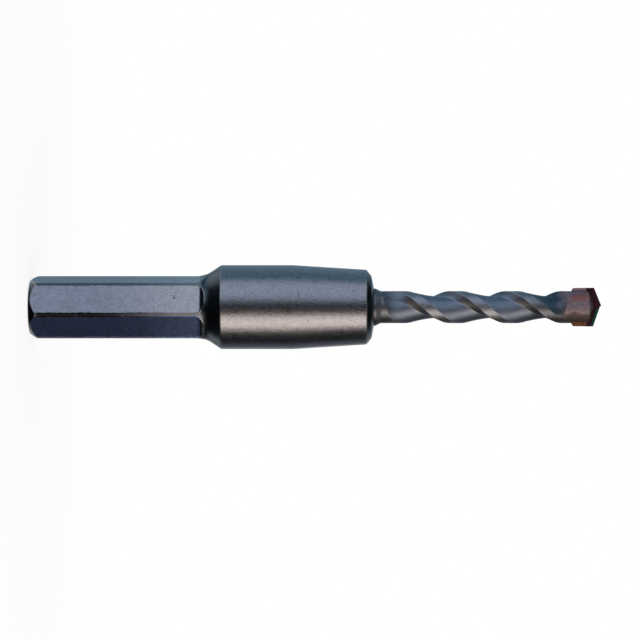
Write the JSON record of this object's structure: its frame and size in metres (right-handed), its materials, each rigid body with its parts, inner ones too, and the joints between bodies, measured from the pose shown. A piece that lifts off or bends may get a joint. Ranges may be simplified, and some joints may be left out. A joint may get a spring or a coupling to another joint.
{
  "type": "hole saw arbor",
  "caption": "Hexagon-shank arbor with a short self-holding taper for a saw's hub and a fluted pilot drill with a brazed carbide tip.",
  "frame": {"origin": "centre of the hexagon shank's end face, on the axis", "axes": "+Z along the axis from the shank to the drill's point; one flat of the hexagon faces -Y"},
  "size_m": [0.0178, 0.0178, 0.1209],
  "materials": {
    "body_steel": "dark blue-grey steel, face-milled flats and turned collar",
    "drill_steel": "grey steel with heat tint near the tip",
    "carbide": "near-black ground carbide",
    "braze": "copper-coloured brazing metal"
  },
  "bodies": {
    "root": {"arbor_body": "body_steel", "pilot_drill": "drill_steel", "carbide_tip": "carbide", "braze_seam": "braze"}
  },
  "joints": []
}
